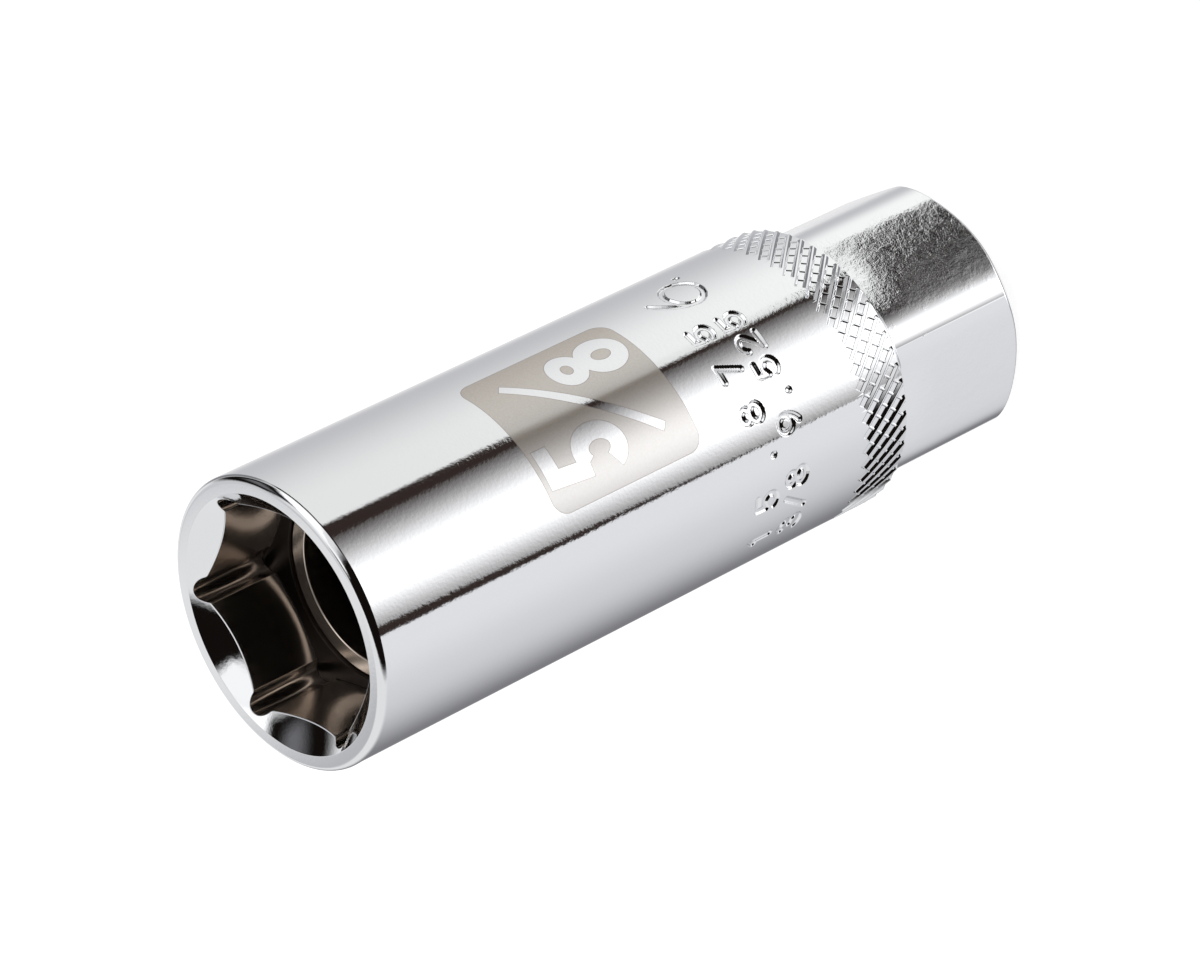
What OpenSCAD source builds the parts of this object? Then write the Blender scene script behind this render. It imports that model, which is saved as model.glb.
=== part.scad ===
// Spark plug socket: a one-piece chrome-plated steel socket that stands on its drive end, with +Z along its axis
// towards the open hexagonal mouth, and a ring magnet pressed in below the hexagon to hold the plug.
// All sizes are in millimetres.

/* [Plug hexagon] */
// Size of the spark plug's hexagon across its flats, five eighths of an inch
plug_af = 15.875; // [14:0.005:21]
// Extra room across the flats
plug_clearance = 0.1; // [0.05:0.01:0.3]
// Radius of the relief groove along each corner of the hexagon
relief_r = 1.05; // [0.6:0.05:1.4]
// How far a relief groove reaches past the sharp corner
relief_reach = 0.28; // [0.1:0.02:0.6]
// Depth of the hexagon, from the rim to the inner edge of its floor
plug_depth = 7.3; // [6:0.1:12]
// Radius of the dished floor of the hexagon
floor_round = 31; // [20:1:60]
// Radius of the dished lead-in at the mouth
lead_round = 13.8; // [12:0.1:20]
// Turn of the hexagon's corners from the drive square's sides, in degrees
plug_turn = 6; // [-30:1:30]

/* [Round body] */
// Wall between a relief groove and the outside of the body
corner_wall = 1.5; // [1:0.05:3]
// Length of the round body, from the rim to the back of the knurled band
body_len = 51; // [35:0.5:80]
// Width of the flat land on the rim
rim_land = 0.7; // [0.3:0.05:0.9]
// Rounding of the rim's outer edge
rim_round = 0.55; // [0.2:0.05:0.8]
// Height of the bevel at the back of the round body
back_bevel = 0.9; // [0.3:0.1:1.5]

/* [Knurled band] */
// Number of diamond pits in one ring
knurl_count = 54; // [36:1:72]
// Number of rings, each turned by half a pitch from the next
knurl_rings = 5; // [3:1:9]
// Angle between the ridges and the axis, in degrees
knurl_angle = 40; // [30:1:50]
// Width of the ridges between the pits
knurl_ridge = 0.28; // [0.15:0.01:0.4]
// Depth of the pits
knurl_depth = 0.2; // [0.1:0.01:0.35]
// Plain strip between the last ring of pits and the bevel
knurl_margin = 0.2; // [0.1:0.05:1]

/* [Insulator bore and magnet] */
// Diameter of the bore that clears the plug's insulator
bore_d = 11.6; // [10:0.1:13]
// Radial step from the bore out to the inside of the magnet
bore_step = 0.3; // [0.2:0.05:0.6]
// Radial thickness of the ring magnet
magnet_wall = 1.1; // [0.8:0.05:1.5]
// Length of the ring magnet
magnet_len = 6; // [3:0.5:12]
// Depth of the magnet's face below the inner edge of the hexagon's floor
magnet_sink = 0.25; // [0.1:0.05:1]
// Radial gap between the magnet and its seat
magnet_clearance = 0.05; // [0.02:0.01:0.15]
// Bevel on the magnet's edges
magnet_bevel = 0.15; // [0.05:0.05:0.3]

/* [Drive end] */
// Size of the outer hexagon across its flats, for a three quarter inch wrench
drive_af = 19.05; // [17:0.01:20]
// Length of the hexagonal drive end, below the round body
drive_len = 14; // [12.5:0.5:25]
// Rounding of the outer hexagon's corners
drive_round = 4.4; // [1:0.1:6]
// Width of the turned crown round the end face, measured at the corners
end_bevel = 1.45; // [0.5:0.05:2.5]
// Radius of the turned crown
crown_round = 13.6; // [12:0.1:20]
// Size of the drive square, three eighths of an inch
square_side = 9.525; // [6.35:0.005:10]
// Extra room across the drive square
square_clearance = 0.1; // [0.05:0.01:0.2]
// Depth of the drive square, to where it opens into the bore
square_depth = 11.5; // [8:0.5:20]
// How far the countersink passes the corners of the drive square
countersink_reach = 0.3; // [0.1:0.05:0.8]
// Radius of the dished countersink
countersink_round = 8.6; // [8:0.1:12]
// Diameter of the ball that the four detent dimples fit
detent_d = 4; // [3:0.1:5]
// Depth of a detent dimple
detent_depth = 0.7; // [0.3:0.05:1]
// Height of the detent dimples above the end face
detent_height = 5.5; // [3.5:0.1:6.5]

/* [Hidden] */
$fn = 96;
// Cuts run this far past the faces that they open
pass = 1;
total_len = drive_len + body_len;
// Plug hexagon: half its width, the tip of a relief groove and the body's radius outside it
hex_half = (plug_af + plug_clearance) / 2;
relief_tip = hex_half / cos(30) + relief_reach;
body_r = relief_tip + corner_wall;
mouth_r = body_r - rim_round - rim_land;
lead_z = total_len + sqrt(pow(lead_round, 2) - pow(mouth_r, 2));
// Bore, magnet and the magnet's seat
bore_r = bore_d / 2;
magnet_in_r = bore_r + bore_step;
magnet_out_r = magnet_in_r + magnet_wall;
seat_r = magnet_out_r + magnet_clearance;
floor_z = total_len - plug_depth;
dish_z = floor_z + sqrt(pow(floor_round, 2) - pow(seat_r, 2));
magnet_top = floor_z - magnet_sink;
seat_z = magnet_top - magnet_len;
// Drive end: how far a corner's rounding passes the flats, the corner after rounding, the crown and the drive square
corner_pass = 0.01;
drive_corner_r = (drive_af / 2 - drive_round + corner_pass) / cos(30) + drive_round;
end_r = drive_corner_r - end_bevel;
crown_z = sqrt(pow(crown_round, 2) - pow(end_r, 2));
square_w = square_side + square_clearance;
countersink_r = square_w / sqrt(2) + countersink_reach;
countersink_z = -sqrt(pow(countersink_round, 2) - pow(countersink_r, 2));
// Knurl: the distance between pits round the body and between rings, and half the width and height of a pit
knurl_pitch = 2 * PI * body_r / knurl_count;
ring_step = knurl_pitch / 2 / tan(knurl_angle);
pit_half_w = knurl_pitch / 2 - knurl_ridge / 2 / cos(knurl_angle);
pit_half_h = pit_half_w / tan(knurl_angle);
knurl_base = drive_len + knurl_margin + pit_half_h;

// Outline of a hexagon with round corners that cross its flats at fine edges, one corner on +X
module round_hexagon(across, rounding) {
    side = (across / 2 - rounding + corner_pass) / cos(30);
    intersection() {
        circle(r = across / 2 / cos(30), $fn = 6);
        union() {
            for (turn = [0 : 60 : 300])
                rotate(turn) translate([side, 0]) circle(r = rounding);
            for (turn = [30 : 60 : 150])
                rotate(turn) square([across + pass, side], center = true);
        }
    }
}

// Outline of the plug hexagon with its six corner relief grooves
module relieved_hexagon() {
    circle(r = hex_half / cos(30), $fn = 6);
    for (turn = [0 : 60 : 300])
        rotate(turn) translate([relief_tip - relief_r, 0]) circle(r = relief_r);
}

// Half section of the round body, with the rim's rounding and the bevel at the back
module body_section() {
    polygon([[0, drive_len - back_bevel], [body_r - back_bevel, drive_len - back_bevel], [body_r, drive_len],
             [body_r, total_len - rim_round], [body_r - rim_round, total_len - rim_round],
             [body_r - rim_round, total_len], [0, total_len]]);
    translate([body_r - rim_round, total_len - rim_round]) circle(r = rim_round);
}

// Outer hexagon of the drive end, with a crown turned round its end face
module drive_hexagon() {
    intersection() {
        rotate(30) linear_extrude(drive_len) round_hexagon(drive_af, drive_round);
        union() {
            translate([0, 0, crown_z]) sphere(r = crown_round);
            translate([0, 0, crown_z]) cylinder(r = crown_round, h = drive_len);
        }
    }
}

// Room for the plug's hexagon, between its dished floor and its dished lead-in
module plug_room() {
    intersection() {
        rotate(plug_turn) translate([0, 0, floor_z]) linear_extrude(plug_depth + pass) relieved_hexagon();
        translate([0, 0, dish_z]) sphere(r = floor_round);
    }
    translate([0, 0, lead_z]) sphere(r = lead_round);
}

// Insulator bore and the wider seat of the magnet at its top
module bore() {
    translate([0, 0, square_depth]) cylinder(r = bore_r, h = seat_z - square_depth + pass);
    translate([0, 0, seat_z]) cylinder(r = seat_r, h = floor_z - seat_z + pass);
}

// Diamond pits of the knurled band, ring by ring
module knurl_pits() {
    for (ring = [0 : knurl_rings - 1], step = [0 : knurl_count - 1])
        rotate((step + (ring % 2) / 2) * 360 / knurl_count)
            translate([body_r, 0, knurl_base + ring * ring_step])
                rotate([0, 90, 0]) linear_extrude(2 * knurl_depth, center = true)
                    polygon([[pit_half_h, 0], [0, pit_half_w], [-pit_half_h, 0], [0, -pit_half_w]]);
}

// Square hole for the drive, with a countersunk mouth and a detent dimple in each side
module drive_hole() {
    translate([-square_w / 2, -square_w / 2, -pass]) cube([square_w, square_w, square_depth + pass]);
    translate([0, 0, countersink_z]) sphere(r = countersink_round);
    for (turn = [0 : 90 : 270])
        rotate(turn) translate([square_w / 2 + detent_depth - detent_d / 2, 0, detent_height]) sphere(d = detent_d);
}

module socket_body() {
    color("silver") difference() {
        union() {
            rotate_extrude() body_section();
            drive_hexagon();
        }
        plug_room();
        bore();
        drive_hole();
        knurl_pits();
    }
}

module ring_magnet() {
    inner = magnet_in_r + magnet_bevel;
    outer = magnet_out_r - magnet_bevel;
    color("rosybrown") translate([0, 0, seat_z]) rotate_extrude()
        polygon([[magnet_in_r, magnet_bevel], [inner, 0], [outer, 0], [magnet_out_r, magnet_bevel],
                 [magnet_out_r, magnet_len - magnet_bevel], [outer, magnet_len], [inner, magnet_len],
                 [magnet_in_r, magnet_len - magnet_bevel]]);
}

socket_body();
ring_magnet();
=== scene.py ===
"""Looks of a plated spark plug socket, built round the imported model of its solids.

The socket stands on its drive end with +Z towards its open mouth. Sizes in the classes are millimetres and
degrees, angles turn about +Z from +X, and a mesh becomes metres when it is made.
"""

import logging
from dataclasses import dataclass, field
from enum import IntEnum
from typing import Any, Callable, Mapping, Sequence

import bpy
import numpy as np
from mathutils import Matrix, Vector
from mathutils.geometry import delaunay_2d_cdt


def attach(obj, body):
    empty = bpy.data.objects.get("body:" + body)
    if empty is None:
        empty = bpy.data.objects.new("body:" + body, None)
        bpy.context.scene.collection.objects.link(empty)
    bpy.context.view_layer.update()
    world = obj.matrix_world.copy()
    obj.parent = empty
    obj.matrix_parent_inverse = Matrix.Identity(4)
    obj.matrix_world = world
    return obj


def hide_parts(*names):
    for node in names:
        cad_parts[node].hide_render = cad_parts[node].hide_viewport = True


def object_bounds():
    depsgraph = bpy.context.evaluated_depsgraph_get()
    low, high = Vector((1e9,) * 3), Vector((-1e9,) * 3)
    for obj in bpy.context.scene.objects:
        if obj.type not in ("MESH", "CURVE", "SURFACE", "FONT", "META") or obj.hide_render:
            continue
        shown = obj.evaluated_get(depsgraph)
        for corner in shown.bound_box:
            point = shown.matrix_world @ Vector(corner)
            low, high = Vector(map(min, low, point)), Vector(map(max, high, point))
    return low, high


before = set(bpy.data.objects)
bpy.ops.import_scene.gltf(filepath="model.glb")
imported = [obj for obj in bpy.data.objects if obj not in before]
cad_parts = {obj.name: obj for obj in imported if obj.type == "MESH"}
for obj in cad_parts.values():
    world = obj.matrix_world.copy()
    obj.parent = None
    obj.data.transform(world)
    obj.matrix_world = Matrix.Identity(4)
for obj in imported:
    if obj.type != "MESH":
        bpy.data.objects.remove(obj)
CAD_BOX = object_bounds()

MM = 0.001
BODY_R = (CAD_BOX[1].x - CAD_BOX[0].x) / 2 / MM
LENGTH = (CAD_BOX[1].z - CAD_BOX[0].z) / MM
# Angle about the axis of the middle of the side that carries the marks
MARK_SIDE = -84.0
# Half width of the small rounding that stands for a broken edge
EDGE = 0.07
# Rounding of the rim's outer edge, and the bevel and length behind the round body
RIM_ROUND = 0.55
BACK_BEVEL = 0.9
DRIVE_LEN = 14.0
# Depth of the plug's hexagon, and the ring magnet below its floor
PLUG_DEPTH = 7.3
MAGNET_TOP = LENGTH - PLUG_DEPTH - 0.25
MAGNET_LEN = 6.0

log = logging.getLogger("socket")
Path2D = list[tuple[float, float]]
Span = tuple[float, float]
Tree = bpy.types.NodeTree
Socket = bpy.types.NodeSocket


class Finish(IntEnum):
    """Place of each finish in the body's list of materials."""

    CHROME = 0
    ETCHED = 1
    ETCH_EDGE = 2
    FORGED = 3
    NICKEL = 4
    # Nickel darkened with painted shade, for the hexagon's floor, the magnet's seat and the bore
    SHADED_RECESS = 5


def smooth(low: float, high: float, value: np.ndarray) -> np.ndarray:
    """Rises smoothly from 0 at low to 1 at high.

    Args:
        low: Value that gives 0.
        high: Value that gives 1.
        value: Values to shape.

    Returns:
        The shaped values.
    """
    share = np.clip((value - low) / (high - low), 0.0, 1.0)
    return share * share * (3.0 - 2.0 * share)


def arc(centre: Span, radii: Span, start: float, stop: float, steps: int = 20) -> Path2D:
    """Points along a stretch of an ellipse.

    Args:
        centre: Centre of the ellipse.
        radii: Its half width and half height.
        start: First angle in degrees.
        stop: Last angle in degrees.
        steps: Number of steps between them.

    Returns:
        The points, both ends included.
    """
    turns = np.radians(np.linspace(start, stop, steps + 1))
    return [(centre[0] + radii[0] * np.cos(t), centre[1] + radii[1] * np.sin(t)) for t in turns]


def full_turn(count: int) -> np.ndarray:
    """Equal angles in radians, once round the axis."""
    return np.linspace(0, 2 * np.pi, count + 1)[:-1]


def axes(angle: Any) -> tuple[np.ndarray, np.ndarray]:
    """Level unit vectors at angles about the axis.

    Args:
        angle: One angle in radians, or many.

    Returns:
        The vectors away from the axis and along the girth.
    """
    cos, sin, none = np.cos(angle), np.sin(angle), np.zeros_like(angle)
    return np.stack([cos, sin, none], -1), np.stack([-sin, cos, none], -1)


def slopes(relief: Callable[[np.ndarray, np.ndarray], np.ndarray], first: np.ndarray, second: np.ndarray,
           scale: Span = (1.0, 1.0)) -> tuple[np.ndarray, np.ndarray]:
    """Slopes of a relief along its two directions.

    Args:
        relief: Height for a pair of places.
        first: Places along the first direction.
        second: Places along the second direction.
        scale: Millimetres in one unit of each direction.

    Returns:
        The slope along each direction.
    """
    tiny = 0.01
    along = (relief(first + tiny, second) - relief(first - tiny, second)) / (2 * tiny * scale[0])
    across = (relief(first, second + tiny) - relief(first, second - tiny)) / (2 * tiny * scale[1])
    return along, across


# Meshes


@dataclass
class Loop:
    """A closed row of points round the axis.

    Attributes:
        index: Number of each point in its skin.
        angle: Angle of each point in radians.
    """

    index: np.ndarray
    angle: np.ndarray


class Skin:
    """Points, normals and faces of one mesh while it grows, in millimetres."""

    def __init__(self) -> None:
        """Starts with nothing."""
        self.points: list[np.ndarray] = []
        self.normals: list[np.ndarray] = []
        self.faces: list[list[int]] = []
        self.finishes: list[int] = []
        self.count = 0

    def add(self, points: np.ndarray, normals: np.ndarray) -> np.ndarray:
        """Adds points with their normals.

        Args:
            points: Places, one row each.
            normals: Normals, one row each.

        Returns:
            The numbers of the new points.
        """
        self.points.append(np.asarray(points, float))
        self.normals.append(np.asarray(normals, float))
        first, self.count = self.count, self.count + len(points)
        return np.arange(first, self.count)

    def fill(self, faces: np.ndarray, finish: Finish) -> None:
        """Adds faces of one finish, given as rows of point numbers."""
        self.faces.extend(np.asarray(faces).tolist())
        self.finishes.extend([int(finish)] * len(faces))

    def loop(self, angle: np.ndarray, radius: Any, height: Any, facing: Any = None, tilt: Any = 0.0) -> Loop:
        """Adds a closed row of points round the axis.

        Args:
            angle: Angle of each point in radians.
            radius: Distance from the axis, one or one each.
            height: Height above the floor, one or one each.
            facing: Angle in radians of the normal's level part; outwards if it isn't given.
            tilt: Angle in radians of the normal above the level.

        Returns:
            The new loop.
        """
        facing = angle if facing is None else facing
        angle, radius, height, facing, tilt = np.broadcast_arrays(angle, radius, height, facing, tilt)
        points = np.stack([radius * np.cos(angle), radius * np.sin(angle), height], 1)
        level = np.cos(tilt)
        normals = np.stack([level * np.cos(facing), level * np.sin(facing), np.sin(tilt)], 1)
        return Loop(self.add(points, normals), np.array(angle))

    def join(self, first: Loop, second: Loop, finish: Finish) -> None:
        """Fills the strip between two loops that follow each other along the skin.

        Args:
            first: Loop on the left when the second is ahead, seen from outside.
            second: Next loop along the skin.
            finish: Finish of the strip.
        """
        a, b = first.index, second.index
        if len(a) == len(b) and np.allclose(first.angle, second.angle):
            self.fill(np.stack([a, b, np.roll(b, -1), np.roll(a, -1)], 1), finish)
            return
        full = 2 * np.pi
        ahead = (second.angle - first.angle[0]) % full
        start = int(np.argmin(ahead))
        b, ahead = np.roll(b, -start), np.roll(ahead, -start)
        turned = np.append((first.angle - first.angle[0]) % full, full)
        ahead = np.append(ahead, ahead[0] + full)
        faces, i, j = [], 0, 0
        while i < len(a) or j < len(b):
            take_first = j == len(b) or (i < len(a) and turned[i + 1] < ahead[j + 1])
            here, there = a[i % len(a)], b[j % len(b)]
            faces.append([here, there, a[(i + 1) % len(a)] if take_first else b[(j + 1) % len(b)]])
            i, j = i + take_first, j + (not take_first)
        self.fill(np.array(faces), finish)

    def chain(self, loops: Sequence[Loop], finish: Finish) -> Loop:
        """Joins each loop to the next.

        Args:
            loops: Loops in order along the skin.
            finish: Finish of all the strips.

        Returns:
            The last loop.
        """
        for first, second in zip(loops, loops[1:]):
            self.join(first, second, finish)
        return loops[-1]

    def build(self, name: str, materials: Sequence[bpy.types.Material]) -> bpy.types.Object:
        """Makes the mesh object, in metres, with its own normals and materials.

        Args:
            name: Name of the object.
            materials: One material for each finish.

        Returns:
            The object, linked to the scene.
        """
        mesh = bpy.data.meshes.new(name)
        mesh.from_pydata((np.concatenate(self.points) * MM).tolist(), [], self.faces)
        for material in materials:
            mesh.materials.append(material)
        mesh.polygons.foreach_set("material_index", np.array(self.finishes, np.int32))
        mesh.polygons.foreach_set("use_smooth", np.ones(len(self.faces), bool))
        normals = np.concatenate(self.normals)
        normals /= np.linalg.norm(normals, axis=1)[:, None]
        mesh.normals_split_custom_set_from_vertices(normals.tolist())
        mesh.update()
        piece = bpy.data.objects.new(name, mesh)
        bpy.context.scene.collection.objects.link(piece)
        return piece


@dataclass
class Outline:
    """A closed outline round the axis.

    Attributes:
        angle: Angle of each point in radians.
        radius: Distance of each point from the axis.
        facing: Angle in radians that the outline faces at each point, away from the axis.
    """

    angle: np.ndarray
    radius: np.ndarray
    facing: np.ndarray

    @classmethod
    def from_points(cls, points: np.ndarray, facing: np.ndarray) -> "Outline":
        """Makes an outline from points and the angles that they face, put in order of angle."""
        angle = np.arctan2(points[:, 1], points[:, 0]) % (2 * np.pi)
        order = np.argsort(angle)
        return cls(angle[order], np.hypot(*points.T)[order], facing[order])

    @classmethod
    def rounded(cls, sides: int, half: float, rounding: float, flat_steps: int, arc_steps: int,
                polish: float = 1.0, crown: float = 0.0) -> "Outline":
        """A regular outline with rounded corners and its first flat square to +X.

        Args:
            sides: Number of flats.
            half: Distance from the axis to each flat.
            rounding: Radius of the corners.
            flat_steps: Steps along a flat.
            arc_steps: Steps round a corner.
            polish: How much faster than a plain arc a corner turns at its middle, as polishing leaves it.
            crown: Angle in degrees that a flat turns from its middle to its edges, as polishing leaves it.

        Returns:
            The outline.
        """
        sector = 2 * np.pi / sides
        reach = (half - rounding) * np.tan(sector / 2)
        corner = (half - rounding) / np.cos(sector / 2)
        points, facing = [], []
        for side in range(sides):
            middle = side * sector
            along = np.linspace(-reach, reach, flat_steps + 1)
            out, across = (way[:2] for way in axes(middle))
            points.append(half * out + along[:, None] * across)
            facing.append(middle + np.radians(crown) * along / max(reach, 1e-9))
            turns = middle + np.linspace(0, sector, arc_steps + 1)[1:-1]
            centre = corner * np.array([np.cos(middle + sector / 2), np.sin(middle + sector / 2)])
            points.append(centre + rounding * np.stack([np.cos(turns), np.sin(turns)], 1))
            off = (turns - middle - sector / 2) / (sector / 2)
            bend = np.sign(off) * (1 - (1 - np.abs(off)) ** polish)
            facing.append(middle + sector / 2 + (sector / 2 - np.radians(crown)) * bend)
        return cls.from_points(np.concatenate(points), np.concatenate(facing))


# Finishes


def linear(colour: str) -> tuple[float, float, float, float]:
    """Turns an sRGB hex colour into linear values.

    Args:
        colour: Six hex digits after a hash sign.

    Returns:
        Red, green, blue and a full alpha.
    """
    parts = np.array([int(colour[i:i + 2], 16) / 255 for i in (1, 3, 5)])
    values = np.where(parts <= 0.04045, parts / 12.92, ((parts + 0.055) / 1.055) ** 2.4)
    return (*values.tolist(), 1.0)


def add_node(tree: Tree, kind: str, inputs: Mapping[Any, Any] | None = None,
             **settings: Any) -> bpy.types.Node:
    """Adds one shader node with its settings, values and links.

    Args:
        tree: Node tree that gets the node.
        kind: Blender's name for the node.
        inputs: Value, or output socket to link, for each input by name or number.
        **settings: Properties of the node itself.

    Returns:
        The new node.
    """
    node = tree.nodes.new(kind)
    for name, value in settings.items():
        setattr(node, name, value)
    for key, value in (inputs or {}).items():
        if isinstance(value, bpy.types.NodeSocket):
            tree.links.new(value, node.inputs[key])
        else:
            node.inputs[key].default_value = value
    return node


def math(tree: Tree, operation: str, first: Any, second: Any = 0.0, third: Any = 0.0) -> Socket:
    """Adds one sum of values or sockets, by Blender's name for it, and gives its result."""
    values = {0: first, 1: second, 2: third}
    return add_node(tree, "ShaderNodeMath", values, operation=operation).outputs[0]


def scaled(tree: Tree, place: Socket, scale: tuple[float, float, float]) -> Socket:
    """Adds a scaling of a place along X, Y and Z and gives the result."""
    return add_node(tree, "ShaderNodeVectorMath", {0: place, 1: scale}, operation="MULTIPLY").outputs[0]


def noise(tree: Tree, place: Socket, size_mm: float, detail: float, fineness: float) -> Socket:
    """Adds a noise.

    Args:
        tree: Node tree that gets it.
        place: Place in millimetres.
        size_mm: Size of its largest lumps.
        detail: Number of finer layers.
        fineness: Weight of each finer layer against the one before.

    Returns:
        The noise, from 0 to 1.
    """
    values = {"Vector": place, "Scale": 1 / size_mm, "Detail": detail, "Roughness": fineness}
    return add_node(tree, "ShaderNodeTexNoise", values).outputs[0]


def bumped(tree: Tree, height: Socket, rise_mm: float) -> Socket:
    """Adds a bump whose full height is a length in millimetres, and gives its normal."""
    values = {"Height": height, "Distance": rise_mm * MM, "Strength": 1.0}
    return add_node(tree, "ShaderNodeBump", values).outputs[0]


def metal(tree: Tree, colour: Any, roughness: Any, **more: Any) -> Socket:
    """Adds the shader of a metal.

    Args:
        tree: Node tree that gets it.
        colour: Linear colour, or a socket.
        roughness: Roughness, or a socket.
        **more: Further inputs by name.

    Returns:
        The shader.
    """
    values = {"Base Color": colour, "Metallic": 1.0, "Roughness": roughness, **more}
    return add_node(tree, "ShaderNodeBsdfPrincipled", values).outputs[0]


def new_material(name: str) -> tuple[bpy.types.Material, Tree, Socket]:
    """Makes an empty material.

    Args:
        name: Name of the material.

    Returns:
        The material, its node tree and the place of a point in millimetres.
    """
    material = bpy.data.materials.new(name)
    material.use_nodes = True
    tree = material.node_tree
    tree.nodes.clear()
    place = add_node(tree, "ShaderNodeTexCoord").outputs["Object"]
    millimetres = add_node(tree, "ShaderNodeVectorMath", {0: place, "Scale": 1 / MM}, operation="SCALE")
    return material, tree, millimetres.outputs[0]


@dataclass(frozen=True)
class PlatedMetal:
    """Plate over worked steel, with the fine relief that the work left under it.

    Attributes:
        name: Name of the material.
        colour: Colour of the plate.
        roughness: Roughness of the plate.
        grain_mm: Width of the relief's lumps.
        grain_length_mm: Their length along the axis.
        grain_rise_mm: Their height.
    """

    name: str
    colour: str
    roughness: float
    grain_mm: float
    grain_length_mm: float
    grain_rise_mm: float

    def material(self) -> bpy.types.Material:
        """Makes the material.

        Returns:
            The material, with its nodes.
        """
        material, tree, place = new_material(self.name)
        drawn = scaled(tree, place, (1.0, 1.0, self.grain_mm / self.grain_length_mm))
        grain = noise(tree, drawn, self.grain_mm, 2.0, 0.5)
        normal = bumped(tree, grain, self.grain_rise_mm)
        shader = metal(tree, linear(self.colour), self.roughness, Normal=normal)
        add_node(tree, "ShaderNodeOutputMaterial", {"Surface": shader})
        return material


@dataclass(frozen=True)
class BrightChrome(PlatedMetal):
    """Bright chrome plate over polished steel: a clear mirror whose fine waviness frays reflected edges."""

    name: str = "bright_chrome_plate"
    colour: str = "#DCDDDF"
    roughness: float = 0.045
    grain_mm: float = 0.26
    grain_length_mm: float = 0.26
    grain_rise_mm: float = 0.003


@dataclass(frozen=True)
class NickelPlate(PlatedMetal):
    """Nickel plate that chrome hardly reaches: a warm, dim and slightly dull metal with drawn streaks."""

    name: str = "nickel_plate_on_broached_steel"
    colour: str = "#E2DAD3"
    roughness: float = 0.16
    grain_mm: float = 0.25
    grain_length_mm: float = 6.0
    grain_rise_mm: float = 0.002


@dataclass(frozen=True)
class ShadeDarkenedNickel(NickelPlate):
    """Nickel on the hexagon's floor, in the magnet's seat and down the bore: brown and dull, and darkened
    with painted shade for the gloom of these recesses.
    """

    name: str = "nickel_darkened_with_painted_shade"
    # Painted shade: the nickel's colour is darkened for the recesses it lines
    colour: str = "#2E2926"
    roughness: float = 0.3


@dataclass(frozen=True)
class EtchedChrome:
    """Chrome plate dulled by electrolytic etching: a warm grey, grained layer with some mirror left in it.

    Its colour runs from pale along one side of the field to brown along the other: painted light and shade,
    the pale side standing in for the brighter light that falls there.

    Attributes:
        name: Name of the material.
        painted_shade_tone: Colour of the layer on the side painted in shade.
        painted_light_tone: Colour of the layer on the side painted as lit.
        plate: Colour of the plate under it.
        roughness: Roughness of the layer.
        plate_roughness: Roughness of the plate that shows through.
        plate_share: How much of the plate shows.
        side: Angle about the axis of the middle of the field.
        reach_mm: Distance from there to where the painted light or shade is full.
        grain_mm: Size of the layer's grain.
        grain_share: How much the grain moves the colour between the two tones.
    """

    name: str = "etched_chrome_plate"
    painted_shade_tone: str = "#B4A693"
    painted_light_tone: str = "#D6D2CE"
    plate: str = "#DCDDDF"
    roughness: float = 0.42
    plate_roughness: float = 0.1
    plate_share: float = 0.32
    side: float = -61.0
    reach_mm: float = 6.0
    grain_mm: float = 0.14
    grain_share: float = 0.3

    def material(self) -> bpy.types.Material:
        """Makes the material.

        Returns:
            The material, with its nodes.
        """
        material, tree, place = new_material(self.name)
        # Painted light and shade: across the field's girth the colour goes from the shaded tone to the lit
        # tone, and the grain is added to that
        across = Vector(axes(np.radians(self.side))[1])
        girth = add_node(tree, "ShaderNodeVectorMath", {0: place, 1: across}, operation="DOT_PRODUCT")
        painted_light_share = add_node(tree, "ShaderNodeMapRange",
                        {0: girth.outputs["Value"], 1: self.reach_mm, 2: -self.reach_mm})
        fleck = add_node(tree, "ShaderNodeMapRange",
                         {0: noise(tree, place, self.grain_mm, 3.0, 0.6),
                          3: -self.grain_share, 4: self.grain_share})
        share = math(tree, "ADD", painted_light_share.outputs[0], fleck.outputs[0])
        tones = {"Factor": share, "A": linear(self.painted_shade_tone), "B": linear(self.painted_light_tone)}
        colour = add_node(tree, "ShaderNodeMix", tones, data_type="RGBA")
        layer = metal(tree, colour.outputs[2], self.roughness)
        mirror = metal(tree, linear(self.plate), self.plate_roughness)
        both = add_node(tree, "ShaderNodeMixShader", {0: self.plate_share, 1: layer, 2: mirror})
        add_node(tree, "ShaderNodeOutputMaterial", {"Surface": both.outputs[0]})
        return material


@dataclass(frozen=True)
class EtchStain(EtchedChrome):
    """Brown oxide that the etching leaves as a hairline round its mask."""

    name: str = "oxide_stain_on_chrome_plate"
    painted_shade_tone: str = "#8F847B"
    painted_light_tone: str = "#B5ABA2"
    plate_share: float = 0.25


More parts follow.
